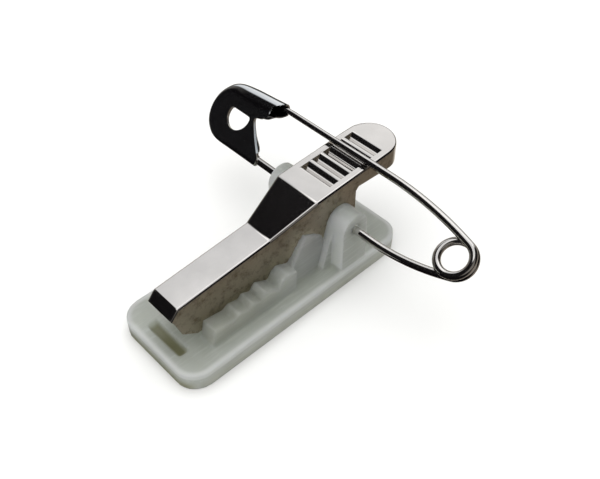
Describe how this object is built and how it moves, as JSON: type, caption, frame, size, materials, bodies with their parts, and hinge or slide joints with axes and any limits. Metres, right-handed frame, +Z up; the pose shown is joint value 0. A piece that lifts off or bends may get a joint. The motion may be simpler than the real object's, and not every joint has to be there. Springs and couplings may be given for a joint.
{
  "type": "combination badge clip",
  "caption": "Badge clip: a moulded base with toothed rails carries a sprung metal clip lever and a capped safety pin that swings on the same axis.",
  "frame": {"origin": "middle of the plate's underside, the face that a badge is stuck to", "axes": "+X along the plate from the lip to the finger tab, +Y along the pin from its coil to its cap, +Z up from the plate"},
  "size_m": [0.0341, 0.0396, 0.0129],
  "materials": {
    "plastic": "milky translucent moulded plastic",
    "plated_sheet": "bright nickel plate",
    "plated_wire": "bright nickel plated wire",
    "cap_sheet": "bright nickel plate"
  },
  "bodies": {
    "base": {"moulding": "plastic"},
    "lever": {"clip_lever": "plated_sheet"},
    "pin": {"pin_wire": "plated_wire", "pin_cap": "cap_sheet"}
  },
  "joints": [
    {"name": "lever_hinge", "type": "hinge", "parent": "base", "child": "lever", "pos_m": [0.0076, 0, 0.00745], "axis": [0, 1, 0], "range_deg": [0, 18], "stiffness_Nm_per_rad": 0.02, "springref_deg": -11.46},
    {"name": "pin_swivel", "type": "hinge", "parent": "base", "child": "pin", "pos_m": [0.0076, 0, 0.00745], "axis": [0, -1, 0], "range_deg": [0, 85]}
  ]
}
